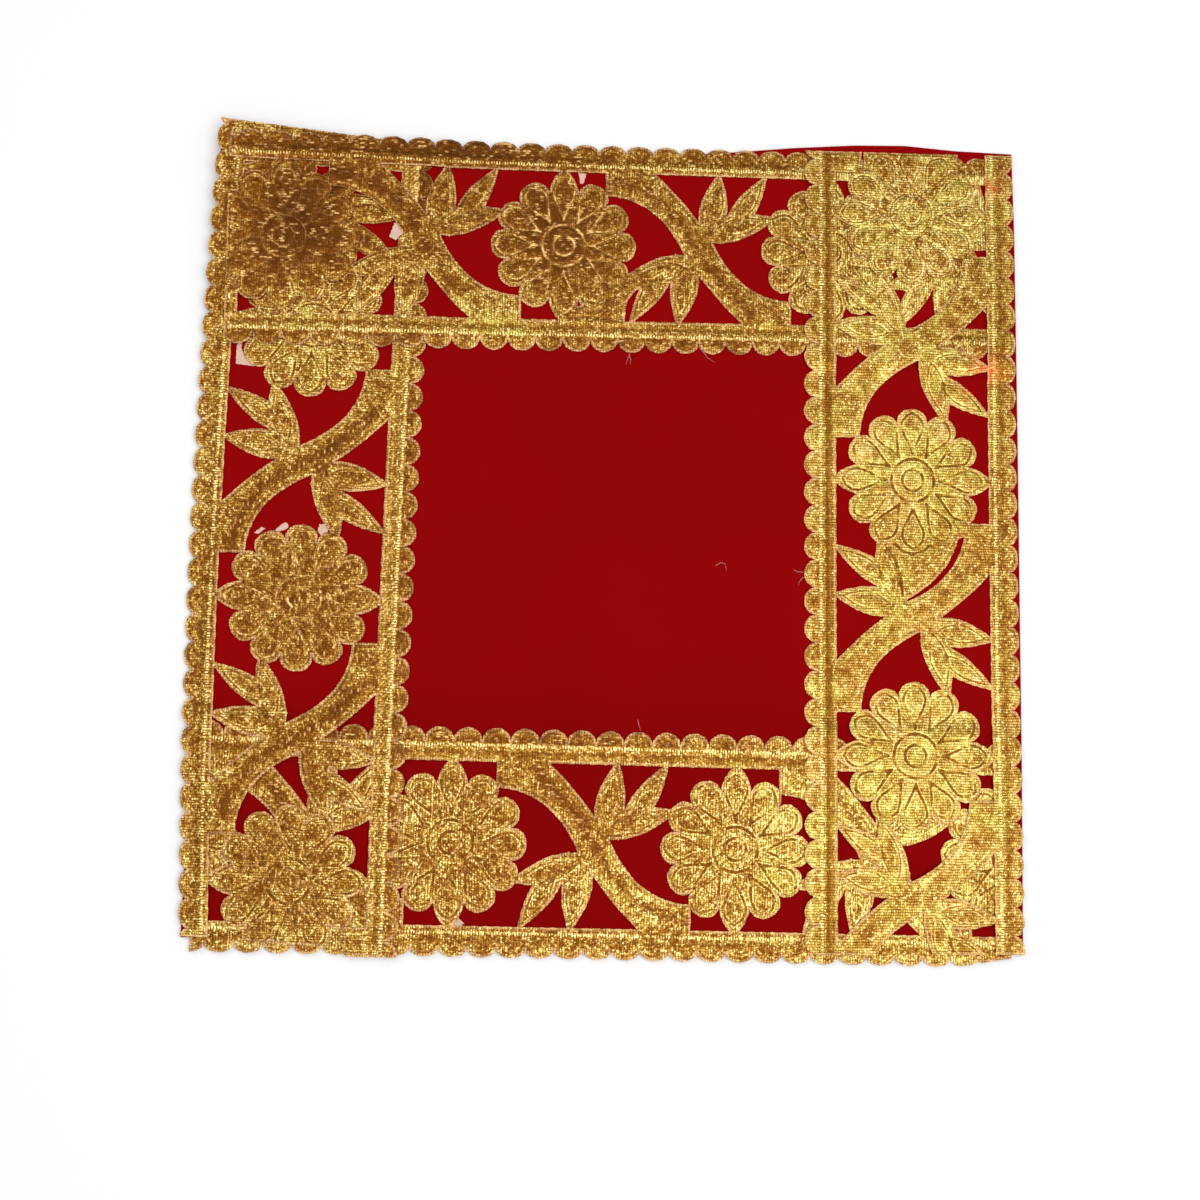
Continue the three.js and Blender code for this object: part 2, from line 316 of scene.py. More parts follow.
# How strongly each kind of line is pressed.
RING_PRESS = 1.0
PETAL_PRESS = 0.85
LEAF_PRESS = 0.6
SCALLOP_PRESS = 0.2
MARK_PRESS = 1.0
INNER_CHANNEL_PRESS = 1.0
OUTER_CHANNEL_PRESS = 0.35
# How far the ground between the cut edges stands up, and over what distance from the edge.
PILLOW = 0.22
PILLOW_RUN = 1.4
# How far a point strays from the drawn pattern, as in cloth.
WOBBLE = 0.09

# Spacing of the mesh: along its edges, between them, and of the points that tell how near a line is.
EDGE_STEP = 0.9
GRID = 1.25
GRID_ROW = 0.87
LINE_STEP = 0.2
# How far past its ends a ribbon's lines are followed, and how near two points are one.
LINE_MARGIN = 2
SAME_POINT = 0.002

# The metal yarn's general tone, a darker streak along each vine, and darker scallops.
TONE = 0.36
STREAK_INSET = 4.9
STREAK_HALF = 2.6
STREAK_STEP = 0.5
STREAK_SHADE = 0.2
CALM_STREAK = 0.7
OUTER_SHADE_FROM = OPEN_HALF + 4
INNER_SHADE_FROM = OPEN_HALF + 6
# Soft patches of painted sheen and painted shade, where it looks brighter or darker, as (x, y, radius,
# amount).
SHEEN_AND_SHADE_PATCHES = (
    (-111, 102, 22, -0.26),
    (-98, 112, 42, -0.15),
    (-22, 102, 25, -0.28),
    (-56, 134, 26, -0.16),
    (-90, 109, 12, 0.12),
    (8, 80, 10, -0.1),
    (-93, 20, 10, -0.12),
    (-105, 62, 12, 0.08),
    (-128, 80, 12, -0.1),
    (-97, -83, 12, -0.1),
    (40, 104, 24, -0.06),
    (-100, 72, 16, 0.12),
    (-45, 72, 14, 0.2),
    (-104, -28, 44, -0.16),
    (-112, -112, 30, -0.08),
    (100, 110, 36, 0.12),
    (105, 40, 30, 0.23),
    (85, 25, 14, 0.12),
    (105, 50, 9, -0.14),
    (104, 12, 14, 0.08),
    (128, 124, 12, 0.12),
    (84, 72, 12, 0.1),
    (88, -22, 12, 0.08),
    (105, -12, 24, 0.05),
    (106, -62, 36, 0.19),
    (56, -104, 27, 0.15),
    (88, -106, 15, -0.1),
    (-2, -118, 10, 0.18),
    (10, -128, 10, 0.16),
    (-62, -98, 10, 0.08),
    (-10, -105, 50, -0.09),
    (105, -110, 34, 0.17),
)
# Patches where the pressed lines and the cut edges show less, how much of the pressed lines' look that takes,
# and how far it narrows the look of the cut edges.
FAINT_LINE_PATCHES = (
    (103, 112, 30, 0.95),
    (-106, 100, 40, 0.75),
    (112, -112, 20, 0.2),
)
FAINT_LINES = 0.5
FAINT_RIM = 1.1
# Where red dye has come off on the gold.
STAINS = (
    (129, 61, 5, 0.8),
    (123, 54, 4, 0.5),
    (130.5, 127, 3.5, 0.65),
)


def half_turn(points):
    return [(-s, -t) for s, t in points]


def shifted(points, by):
    return [(s + by, t) for s, t in points]


def curve_points(curves, steps):
    points = []
    for start, control, end in curves:
        for step in range(steps + (end == curves[-1][2])):
            part = step / steps
            weights = ((1 - part) ** 2, 2 * part * (1 - part), part ** 2)
            held = list(zip(weights, (start, control, end)))
            points.append(tuple(sum(weight * point[axis] for weight, point in held) for axis in (0, 1)))
    return points


def offset_line(line, distance):
    """The line moved sideways, to the left of the way it runs."""
    result = []
    for index, (s, t) in enumerate(line):
        before, after = line[max(index - 1, 0)], line[min(index + 1, len(line) - 1)]
        ahead, up = after[0] - before[0], after[1] - before[1]
        run = math.hypot(ahead, up) or 1.0
        result.append((s - up / run * distance, t + ahead / run * distance))
    return result


def joins_band(petal):
    """Whether a petal is one of the two that reach a band."""
    return petal % (PETALS // 2) == PETALS // 4


def flower_outline():
    points = []
    for petal in range(PETALS):
        tip = PETAL_TO_BAND if joins_band(petal) else PETAL_TIP
        for step in range(PETAL_STEPS):
            part = (1 - math.cos(math.pi * step / PETAL_STEPS)) / 2
            side = abs(2 * part - 1)
            bulge = 1 - side ** BAND_PETAL_POINT if joins_band(petal) else math.sqrt(1 - side ** 2)
            radius = PETAL_VALLEY + (tip - PETAL_VALLEY) * bulge
            angle = (petal - 0.5 + part) * 2 * math.pi / PETALS
            points.append((radius * math.cos(angle), radius * math.sin(angle)))
    return points


def petal_loop(petal):
    """The line pressed into one petal: a narrow drop that starts near the rings."""
    angle = petal * 2 * math.pi / PETALS
    tip = LOOP_TO_BAND if joins_band(petal) else PETAL_TIP
    length = tip - LOOP_INSET - LOOP_START
    side = []
    for step in range(LOOP_STEPS + 1):
        part = step / LOOP_STEPS
        width = LOOP_HALF_WIDTH * math.sin(math.pi * part ** LOOP_WIDEST) ** LOOP_ROUNDNESS
        side.append((LOOP_START + length * part, width))
    loop = side + [(r, -w) for r, w in reversed(side[:-1])]
    cos, sin = math.cos(angle), math.sin(angle)
    return [(r * cos - w * sin, r * sin + w * cos) for r, w in loop]


def ring(radius):
    steps = int(radius * RING_STEPS_PER_MM)
    return [
        (radius * math.cos(2 * math.pi * step / steps), radius * math.sin(2 * math.pi * step / steps))
        for step in range(steps + 1)
    ]


def vine_outline():
    side = curve_points(VINE_CURVES, VINE_STEPS) + [(VINE_CURVES[-1][2][0], -OPEN_HALF - ROOT_OVERLAP)]
    return side + half_turn(side)


def leaf_outline(base, tip, width, start=0.0, end=1.0):
    run = Vector((tip[0] - base[0], tip[1] - base[1]))
    side = Vector((-run.y, run.x)).normalized()
    points = []
    for hand in (1, -1):
        for step in range(LEAF_STEPS):
            part = step / LEAF_STEPS if hand > 0 else 1 - step / LEAF_STEPS
            half = hand * width * math.sin(math.pi * part ** LEAF_SHAPE) / 2
            point = Vector(base) + run * (start + (end - start) * part) + side * half
            points.append((point.x, point.y))
    return points


def scallops(start, count, base, depth):
    points = []
    for step in range(count * SCALLOP_STEPS + 1):
        scallop, part = divmod(step, SCALLOP_STEPS)
        angle = math.pi * part / SCALLOP_STEPS
        points.append((
            start + SCALLOP_PITCH * (scallop + (1 - math.cos(angle)) / 2),
            base + depth * math.sin(angle),
        ))
    return points


def band_outline(start, count, width, depth):
    end = start + count * SCALLOP_PITCH
    return [(start, OPEN_HALF), *scallops(start, count, OPEN_HALF + width, depth), (end, OPEN_HALF)]


def counter_clockwise(points):
    area = sum(a[0] * b[1] - b[0] * a[1] for a, b in zip(points, points[1:] + points[:1]))
    return points if area > 0 else points[::-1]


def spaced(line, step):
    """Points along a line, at most one step apart."""
    points = [line[0]]
    for a, b in zip(line, line[1:]):
        parts = max(1, math.ceil(math.dist(a, b) / step))
        for k in range(1, parts + 1):
            points.append((a[0] + (b[0] - a[0]) * k / parts, a[1] + (b[1] - a[1]) * k / parts))
    return points


def spaced_outline(outline, step):
    return spaced(outline + outline[:1], step)[:-1]


def tree_of(points):
    tree = kdtree.KDTree(len(points))
    for index, (s, t) in enumerate(points):
        tree.insert((s, t, 0), index)
    tree.balance()
    return tree


def ribbon_pattern(flower, webs, marks):
    """A ribbon laid flat: its outlines, its pressed lines as (line, press), its channels and streaks."""
    first = flower % REPEAT
    while first > -RIBBON_REACH:
        first -= REPEAT
    flowers = list(np.arange(first, RIBBON_REACH, REPEAT))
    start = flowers[0] - REPEAT / 2
    count = round(len(flowers) * REPEAT / SCALLOP_PITCH) + 1
    end = start + count * SCALLOP_PITCH
    outer_band = band_outline(start + OUTER_SCALLOP_SHIFT, count, OUTER_BAND, OUTER_SCALLOP)
    outlines = [band_outline(start, count, INNER_BAND, INNER_SCALLOP), [(s, -t) for s, t in outer_band]]
    line_base = OPEN_HALF + INNER_BAND - SCALLOP_LINE_INSET
    lines = [(scallops(start, count, line_base, SCALLOP_LINE_DEPTH), SCALLOP_PRESS)]
    streak = offset_line(curve_points(VINE_CURVES, VINE_STEPS), -STREAK_INSET)
    streaks = []
    for middle in flowers:
        crossing = middle + REPEAT / 2
        outlines += [shifted(flower_outline(), middle), shifted(vine_outline(), crossing)]
        lines += [(shifted(ring(radius), middle), RING_PRESS) for radius in RING_RADII]
        lines += [(shifted(petal_loop(petal), middle), PETAL_PRESS) for petal in range(PETALS)]
        streaks.append(shifted(streak, crossing))
        for base, tip, width in LEAVES:
            outline = leaf_outline(base, tip, width)
            vein = leaf_outline(base, tip, width * LEAF_LINE_WIDTH, LEAF_LINE_START, LEAF_LINE_END)
            outlines += [shifted(outline, crossing), shifted(half_turn(outline), crossing)]
            lines += [(shifted(line, crossing), LEAF_PRESS) for line in (vein, half_turn(vein))]
    outlines += [shifted(area, flower) for area in webs]
    lines += [(shifted(mark, flower), MARK_PRESS) for mark in marks]
    channels = [[(start, t), (end, t)] for t in (INNER_CHANNEL, -OUTER_CHANNEL)]
    return [counter_clockwise(outline) for outline in outlines], lines, channels, streaks


def pressed_into(lines, channels, low, high):
    """What pressing does from low to high: rails for the mesh, and close points on lines and channels."""
    near_low, near_high = low - LINE_MARGIN, high + LINE_MARGIN
    rails, line_points, presses, channel_points = [], [], [], []
    grooves = [(line, GROOVE_HALF, press) for line, press in lines]
    for line, half, press in grooves + [(channel, CHANNEL_HALF, 0) for channel in channels]:
        clipped = [point for point in spaced(line, EDGE_STEP) if near_low < point[0] < near_high]
        if len(clipped) < 2:
            continue
        rails += [offset_line(clipped, side) for side in (0, half, -half)]
        close = spaced(clipped, LINE_STEP)
        if press:
            line_points += close
            presses += [press] * len(close)
        else:
            channel_points += close
    return rails, line_points, presses, channel_points


def largest_piece(triangles):
    """The triangles of the largest connected piece."""
    parent = {}

    def root(corner):
        while parent.setdefault(corner, corner) != corner:
            parent[corner] = parent[parent[corner]]
            corner = parent[corner]
        return corner

    for a, b, c in triangles:
        parent[root(a)] = root(b)
        parent[root(b)] = root(c)
    groups = {}
    for triangle in triangles:
        groups.setdefault(root(triangle[0]), []).append(triangle)
    return max(groups.values(), key=len)


def cut_sheet(outlines, rails, cut, low, high):
    """The flat ribbon's points and triangles: all that is in an outline and inside the cut."""
    points, faces, edges = [], [], []
    reached = [o for o in outlines if max(s for s, t in o) >= low and min(s for s, t in o) <= high]
    for outline in [*reached, cut]:
        outline = spaced_outline(outline, EDGE_STEP)
        faces.append(list(range(len(points), len(points) + len(outline))))
        points += outline
    cut_face = len(faces) - 1
    for rail in rails:
        edges += [(len(points) + k, len(points) + k + 1) for k in range(len(rail) - 1)]
        points += rail
    taken = tree_of(points)
    rows = int((OPEN_HALF + INNER_BAND + INNER_SCALLOP) / GRID) + 1
    for row in range(-rows, rows + 1):
        for column in range(int((high - low) / GRID) + 2):
            point = (low + (column + 0.5 * (row % 2)) * GRID, row * GRID * GRID_ROW)
            if taken.find((*point, 0))[2] > GRID / 2:
                points.append(point)
    verts, _, triangles, _, _, sources = delaunay_2d_cdt(
        [Vector(point) for point in points], edges, faces, 0, SAME_POINT, True)
    kept = largest_piece([
        tuple(triangle) for triangle, source in zip(triangles, sources)
        if cut_face in source and any(face != cut_face for face in source)
    ])
    used = sorted({corner for triangle in kept for corner in triangle})
    new_index = {old: new for new, old in enumerate(used)}
    flat = [(verts[old].x, verts[old].y) for old in used]
    return flat, [tuple(new_index[corner] for corner in triangle) for triangle in kept]


def cut_edges(flat, triangles):
    """Close points along all edges of the flat ribbon."""
    sides = {(a, b) for t in triangles for a, b in (t[:2], t[1:], (t[2], t[0]))}
    border = [(a, b) for a, b in sides if (b, a) not in sides]
    return [point for a, b in border for point in spaced([flat[a], flat[b]], LINE_STEP)]


def patch_at(patches, x, y):
    """What all soft patches together give at a point."""
    return sum(
        amount * math.exp(-((x - px) ** 2 + (y - py) ** 2) / radius ** 2)
        for px, py, radius, amount in patches
    )


class Lay(NamedTuple):
    """How a length lies: turned and moved out, stretched, tapered, wider halfway and bowed."""

    turn: float
    offset: float
    along: float = 1
    across: float = 1
    pull: float = 0
    taper: float = 0
    swell: float = 0
    bow: float = 0

    def place(self, s, t):
        length = s * self.along + self.pull * s * s / HALF_SIDE
        halfway = 1 - (length / HALF_SIDE) ** 2
        width = self.across + self.taper * length / HALF_SIDE + self.swell * halfway
        side = t * width + self.offset - self.bow * halfway
        cos, sin = math.cos(math.radians(self.turn)), math.sin(math.radians(self.turn))
        return length * cos - side * sin, length * sin + side * cos


class Looks(NamedTuple):
    """How a length's gold looks: how calm its weave is, how dark its scallops are, and how much painted shade
    its channels take.
    """

    calm: float = 0
    outer_shade: float = 0
    inner_shade: float = 0
    channel_shade: float = 1


def ribbon_piece(node, vertices, triangles, flat, shares, values):
    """The finished length: its face thickened, with the flat pattern as its weave map."""
    mesh = bpy.data.meshes.new(node)
    mesh.from_pydata(vertices, [], triangles)
    for name, numbers in values.items():
        mesh.attributes.new(name, "FLOAT", "POINT").data.foreach_set("value", numbers)
    weave_map = mesh.uv_layers.new(name="weave")
    corners = np.zeros(len(mesh.loops), dtype=np.int32)
    mesh.loops.foreach_get("vertex_index", corners)
    weave_map.data.foreach_set("uv", np.array(flat, dtype=np.float32)[corners].ravel())
    piece = bpy.data.objects.new(node + "_cutwork", mesh)
    bpy.context.collection.objects.link(piece)
    thicken(piece, RIBBON_THICKNESS + PILLOW, shares)
    bpy.ops.object.mode_set(mode="EDIT")
    bpy.ops.mesh.select_all(action="SELECT")
    bpy.ops.mesh.remove_doubles(threshold=SAME_POINT * MM)
    bpy.ops.object.mode_set(mode="OBJECT")
    piece.data.materials.append(gold.material)
    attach(piece, "root")
    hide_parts(node)
    return piece


def lay_ribbon(node, lay, looks, flower, cuts, climbs, webs=(), marks=()):
    """Makes one length: the flat pattern, cut to length, stretched and laid on what it is sewn to.

    flower is the place of one of its flowers. Each climb is (axis, line, way): where it rises onto
    another length. Returns the piece and the area of its face.
    """
    outlines, lines, channels, streaks = ribbon_pattern(flower / lay.along, webs, marks)
    cut = counter_clockwise([(s / lay.along, t) for s, t in cuts])
    low, high = min(s for s, t in cut), max(s for s, t in cut)
    rails, line_points, presses, channel_points = pressed_into(lines, channels, low, high)
    flat, triangles = cut_sheet(outlines, rails, cut, low, high)
    edge_tree = tree_of(cut_edges(flat, triangles))
    line_tree = tree_of(line_points)
    channel_tree = tree_of(channel_points)
    streak_tree = tree_of([point for line in streaks for point in spaced(line, STREAK_STEP)])

    vertices, shares = [], []
    values = {name: [] for name in ("rim", "groove", "channel", "tone", "calm", "stain")}
    for s, t in flat:
        rim = edge_tree.find((s, t, 0))[2]
        _, index, distance = line_tree.find((s, t, 0))
        groove = presses[index] * max(0.0, 1 - distance / GROOVE_HALF)
        hollow = max(0.0, 1 - channel_tree.find((s, t, 0))[2] / CHANNEL_HALF)
        streak = max(0.0, 1 - streak_tree.find((s, t, 0))[2] / STREAK_HALF)
        x, y = lay.place(s, t)
        height = cloth_top(x, y) + RIBBON_GAP + RIBBON_THICKNESS
        for axis, line, way in climbs:
            past = ((x if axis == "x" else y) - line) * way / RAMP + 1
            height += LAYER_RISE * min(max(past, 0.0), 1.0)
        relief = PILLOW * (1 - math.exp(-rim / PILLOW_RUN)) - GROOVE_DEPTH * groove - CHANNEL_DEPTH * hollow
        height += relief
        shares.append((RIBBON_THICKNESS + relief) / (RIBBON_THICKNESS + PILLOW))
        wobble_x = WOBBLE * math.sin(2.1 * x + 1.3 * y)
        wobble_y = WOBBLE * math.sin(1.7 * x - 2.3 * y)
        vertices.append(on_part(x + wobble_x, y + wobble_y, height))

        faintness = patch_at(FAINT_LINE_PATCHES, x, y)
        shade = STREAK_SHADE * streak * (1 - CALM_STREAK * looks.calm)
        shade += looks.outer_shade * (t < -OUTER_SHADE_FROM) + looks.inner_shade * (t > INNER_SHADE_FROM)
        channel_press = INNER_CHANNEL_PRESS if t > 0 else OUTER_CHANNEL_PRESS
        values["rim"].append(rim + FAINT_RIM * faintness)
        values["groove"].append(groove * (1 - FAINT_LINES * faintness))
        values["channel"].append(looks.channel_shade * hollow * channel_press)
        # The tone carries the patches of painted sheen and painted shade, less the darker streak and
        # scallops.
        values["tone"].append(TONE + patch_at(SHEEN_AND_SHADE_PATCHES, x, y) - shade)
        values["calm"].append(looks.calm * (1 - faintness))
        values["stain"].append(patch_at(STAINS, x, y))

    piece = ribbon_piece(node, vertices, triangles, flat, shares, values)
    area = sum(
        (vertices[b] - vertices[a]).cross(vertices[c] - vertices[a]).length / 2 for a, b, c in triangles)
    return piece, area


# Gold weave of the ribbons
# Ribs of thread run across a ribbon, and flat metal yarn floats over them in short stitches,
# each with a painted glint of its own. The pressed lines and the cut edges break it up.
RIB_PITCH = 0.9
FLOAT_LENGTH = 0.8
FINE_PITCH = 0.47
FINE_LENGTH = 0.6
DOT_PITCH = 0.76
DOT_LENGTH = 0.72
DASH_PITCH = 0.75
DASH_LENGTH = 1.5
BEAD_PITCH = 0.95
BEAD_ROWS = (32.5, -29.4)
ROPE_PITCH = 1.7
ROPE_BAND = (27.4, 28.2, 32.9, 33.6)
WANDER = 0.5
METAL = 0.75
# The yarn's colour from painted shade to painted glint, once warm and once greener; the greener one goes in
# clusters where the painted sheen is bright.
GOLD_STEPS = (
    (0.0, srgb(86, 44, 4)),
    (0.25, srgb(122, 70, 10)),
    (0.48, srgb(167, 120, 42)),
    (0.7, srgb(214, 176, 90)),
    (1.0, srgb(252, 231, 162)),
)
GREEN_GOLD_STEPS = (
    (0.0, srgb(84, 48, 4)),
    (0.25, srgb(116, 74, 10)),
    (0.48, srgb(158, 123, 36)),
    (0.7, srgb(206, 181, 82)),
    (1.0, srgb(250, 237, 150)),
)
RIM_COLOUR = srgb(242, 192, 132)
# The pale dashes are painted glints.
DASH_GLINT_COLOUR = srgb(236, 186, 128)
STAIN_COLOUR = srgb(208, 58, 26)

gold = Nodes("gold_metal_yarn")
weave_place = gold.add("ShaderNodeUVMap", uv_map="weave").outputs[0]


def attribute(name):
    return gold.add("ShaderNodeAttribute", attribute_name=name).outputs["Fac"]


def centred(number):
    return gold.math("SUBTRACT", number, 0.5)


rim_at = attribute("rim")
groove_at = attribute("groove")
channel_at = attribute("channel")
tone_and_sheen_at = attribute("tone")
calm_at = attribute("calm")
stain_at = attribute("stain")


def random_for(first, second):
    """A random number for each pair of whole numbers."""
    pair = gold.add("ShaderNodeCombineXYZ")
    gold.feed(pair.inputs[0], first)
    gold.feed(pair.inputs[1], second)
    node = gold.add("ShaderNodeTexWhiteNoise", noise_dimensions="2D")
    gold.feed(node.inputs["Vector"], pair.outputs[0])
    return node.outputs["Value"]


def floats(along, across, pitch, length):
    """One layer of stitches: a random number for each, and how high its thread stands."""
    column_place = gold.math("DIVIDE", along, pitch)
    column = gold.math("FLOOR", column_place)
    row_place = gold.math("ADD", gold.math("DIVIDE", across, length), random_for(column, 7.0))
    row = gold.math("FLOOR", row_place)
    over = gold.math("SINE", gold.times(gold.math("FRACT", column_place), math.pi))
    end = gold.math("SINE", gold.times(gold.math("FRACT", row_place), math.pi))
    return random_for(column, row), gold.times(over, gold.math("MULTIPLY_ADD", end, 0.6, 0.4))


def waves(place_of_wave, pitch):
    return gold.math("SINE", gold.times(place_of_wave, 2 * math.pi / pitch))


def within(number, start, full, fade, end):
    """One between full and fade, and nothing below start or above end."""
    return gold.times(gold.ease(number, start, full), gold.ease(number, fade, end, 1.0, 0.0))


def clusters(scale, low, high, least, detail=2.0):
    """Gathers a detail in some places, and leaves the least share of it in the others."""
    return gold.ease(gold.noise(weave_place, scale, detail), low, high, least, 1.0)


def by_tone(low, high, dark, bright):
    """One amount where the tone and its painted sheen are dark and another where they are bright."""
    return gold.ease(tone_and_sheen_here, low, high, dark, bright)


def by_calm(lively, calm):
    """One amount on a lively ribbon and another on a calm one."""
    return gold.ease(calm_at, 0, 1, lively, calm)


def darkened(number, part):
    return gold.times(number, gold.math("SUBTRACT", 1.0, part))


def coloured(number, steps):
    """The yarn's colour for a number from shade to glint."""
    node = gold.add("ShaderNodeValToRGB")
    gold.feed(node.inputs[0], number)
    for index, (place_on_ramp, colour) in enumerate(steps):
        stops = node.color_ramp.elements
        stop = stops[index] if index < 2 else stops.new(place_on_ramp)
        stop.position = place_on_ramp
        stop.color = colour
    return node.outputs[0]


# The threads wander a little from straight lines.
s_place, t_place = gold.split(weave_place)
wander = gold.times(centred(gold.noise(weave_place, 0.25, 1.0)), WANDER)
s_thread = gold.math("ADD", s_place, wander)
t_thread = gold.math("ADD", t_place, wander)

# The tone and its painted sheen are uneven in two sizes of patch, and less so where it is dark.
unevenness = gold.ease(tone_and_sheen_at, 0.0, 0.3, 0.25, 1.0)
patch = gold.noise(weave_place, 0.16)
mid_patch = gold.noise(weave_place, 0.5)
tone_and_sheen_here = gold.add_to(tone_and_sheen_at, gold.times(centred(patch), 0.68), unevenness)
tone_and_sheen_here = gold.add_to(tone_and_sheen_here, gold.times(centred(mid_patch), 0.52), unevenness)

# Each stitch of the two layers of floats has a painted glint of its own, and painted shade shows in the gaps
# between the ribs.
glint, thread = floats(s_thread, t_thread, RIB_PITCH, FLOAT_LENGTH)
fine_glint, fine_thread = floats(t_thread, s_thread, FINE_PITCH, FINE_LENGTH)
rib_size = gold.times(by_calm(1.0, 1.2), by_tone(0.1, 0.4, 0.3, 1.0))
sparkle = gold.times(centred(glint), by_calm(0.85, 0.45))
sparkle = gold.add_to(sparkle, centred(fine_glint), by_calm(0.75, 0.55))
sparkle = gold.add_to(sparkle, centred(thread), rib_size)
value = gold.add_to(tone_and_sheen_here, sparkle, by_tone(0.06, 0.4, 0.08, 0.36))

# Painted glints: bright dots come in clusters, beside pressed lines and in a calm ribbon's channels, and a
# few flash as painted highlights.
line_flank = within(groove_at, 0.03, 0.25, 0.3, 0.6)
dot, dot_thread = floats(s_thread, t_thread, DOT_PITCH, DOT_LENGTH)
dot = gold.add_to(dot, centred(gold.noise(weave_place, 0.35)), 1.3)
dot = gold.add_to(dot, line_flank, 0.4)
dot = gold.add_to(dot, gold.times(channel_at, calm_at), 0.5)
dots = gold.times(gold.ease(dot, 0.55, 0.85), gold.ease(dot_thread, 0.25, 0.8))
dot_size = gold.times(by_tone(0.05, 0.35, 0.16, 0.42), by_calm(1.0, 0.4), by_tone(0.42, 0.65, 1.0, 0.6))
value = gold.add_to(value, dots, dot_size)
flash = gold.times(gold.ease(fine_glint, 0.86, 0.93), gold.ease(glint, 0.4, 0.7))
value = gold.add_to(value, flash, by_tone(0.05, 0.35, 0.1, 0.4))

# In the dark patches pale dashes of painted glint show, in clusters and along the pressed lines.
dash, dash_thread = floats(t_thread, s_thread, DASH_PITCH, DASH_LENGTH)
dash = gold.times(gold.ease(dash, 0.62, 0.95), clusters(0.2, 0.42, 0.62, 0.15), dash_thread)
line_seen = clusters(0.2, 0.4, 0.56, 0.3, detail=1.0)
line_glints = gold.ease(gold.math("ADD", glint, fine_glint), 0.5, 1.1, 0.25, 1.0)
line_dash = gold.times(gold.ease(groove_at, 0.4, 0.75), line_seen, 0.6, line_glints)
dash = gold.times(gold.math("MAXIMUM", dash, line_dash), by_tone(0.08, 0.36, 1.0, 0.0))
value = gold.add_to(value, dash, 0.75)

# The band towards the red square looks like twisted rope, and each band carries a row of beads.
rope_twist = waves(gold.math("ADD", s_thread, t_thread), ROPE_PITCH)
rope_lift = gold.times(by_tone(0.1, 0.4, 0.32, 0.0), gold.math("MULTIPLY_ADD", rope_twist, 0.4, 1.0))
value = gold.add_to(value, within(t_place, *ROPE_BAND), rope_lift)
bead_rows = [
    gold.ease(gold.math("ABSOLUTE", gold.math("SUBTRACT", t_place, row)), 0.2, 0.7, 1.0, 0.0)
    for row in BEAD_ROWS
]
wave_s = waves(s_thread, BEAD_PITCH)
wave_t = waves(t_thread, BEAD_PITCH)
bead_size = gold.times(gold.ease(wave_s, -0.6, 0.5, -0.1, 0.6), gold.math("ADD", glint, 0.25))
value = gold.add_to(value, gold.math("MAXIMUM", *bead_rows), bead_size)

# A pressed line is darkened with painted shade where the gold is bright, and glows with a painted highlight
# where it is dark.
line_painted_highlight = gold.times(gold.ease(groove_at, 0.55, 0.9), by_tone(0.1, 0.36, 0.36, 0.0))
line_painted_highlight = gold.add_to(line_painted_highlight, line_flank, by_tone(0.1, 0.4, 0.05, 0.22))
value = gold.add_to(value, line_painted_highlight, line_seen)
value = darkened(value, gold.times(gold.ease(groove_at, 0.25, 0.7), by_tone(0.1, 0.36, 0.0, 0.6), line_seen))

# The channels are darkened with painted shade, and so is a line just inside the cut edge, with a paler one
# next to it.
hollow_seen = gold.times(by_tone(0.12, 0.36, 0.25, 0.8), gold.ease(patch, 0.3, 0.55, 0.65, 1.0))
hollow_seen = gold.math("MAXIMUM", hollow_seen, gold.times(calm_at, 0.85))
value = darkened(value, gold.times(gold.ease(channel_at, 0.0, 0.6, 0.0, 0.55), hollow_seen))
value = gold.add_to(value, within(rim_at, 0.9, 1.2, 1.3, 2.0), -0.14)
value = gold.add_to(value, within(rim_at, 0.9, 1.3, 1.9, 3.0), 0.13)

# The colour follows, with the painted glints of the dashes, the red dye and the pale beaded rim over it.
green_part = gold.times(by_tone(0.3, 0.6, 0.0, 1.0), clusters(0.05, 0.35, 0.6, 0.0, detail=1.0))
woven = gold.mix(green_part, coloured(value, GOLD_STEPS), coloured(value, GREEN_GOLD_STEPS))
woven = gold.mix(gold.times(dash, 0.75), woven, DASH_GLINT_COLOUR)
woven = gold.mix(gold.times(stain_at, clusters(0.6, 0.35, 0.6, 0.3)), woven, STAIN_COLOUR)
rim_near = gold.ease(rim_at, 0.6, 1.1, 1.0, 0.0)
rim_beads = gold.ease(gold.math("ADD", wave_s, wave_t), -0.9, 0.9, 0.15, 1.0)
rim_seen = gold.times(by_tone(0.0, 0.2, 0.16, 0.85), by_tone(0.25, 0.6, 1.0, 0.8))
rim_part = gold.times(rim_near, rim_beads, rim_seen, clusters(0.14, 0.4, 0.58, 0.3))
gold.feed(gold.shader.inputs["Base Color"], gold.mix(rim_part, woven, RIM_COLOUR))
gold.feed(gold.shader.inputs["Metallic"], gold.math("SUBTRACT", METAL, gold.times(rim_part, METAL)))
gold.shader.inputs["Roughness"].default_value = 0.42
gold.shader.inputs["Specular IOR Level"].default_value = 0.2
gold.bump(gold.add_to(thread, fine_thread, 0.5), 0.4, 0.00015)

ribbon_bottom, bottom_area = lay_ribbon(
    "ribbon_bottom", Lay(turn=-0.1, offset=-107.1), Looks(inner_shade=0.14), flower=42.8,
    cuts=[(-136, -45), (-136, 45), (137, 45), (137, -34), (110, -38.5), (110, -45)], climbs=[])


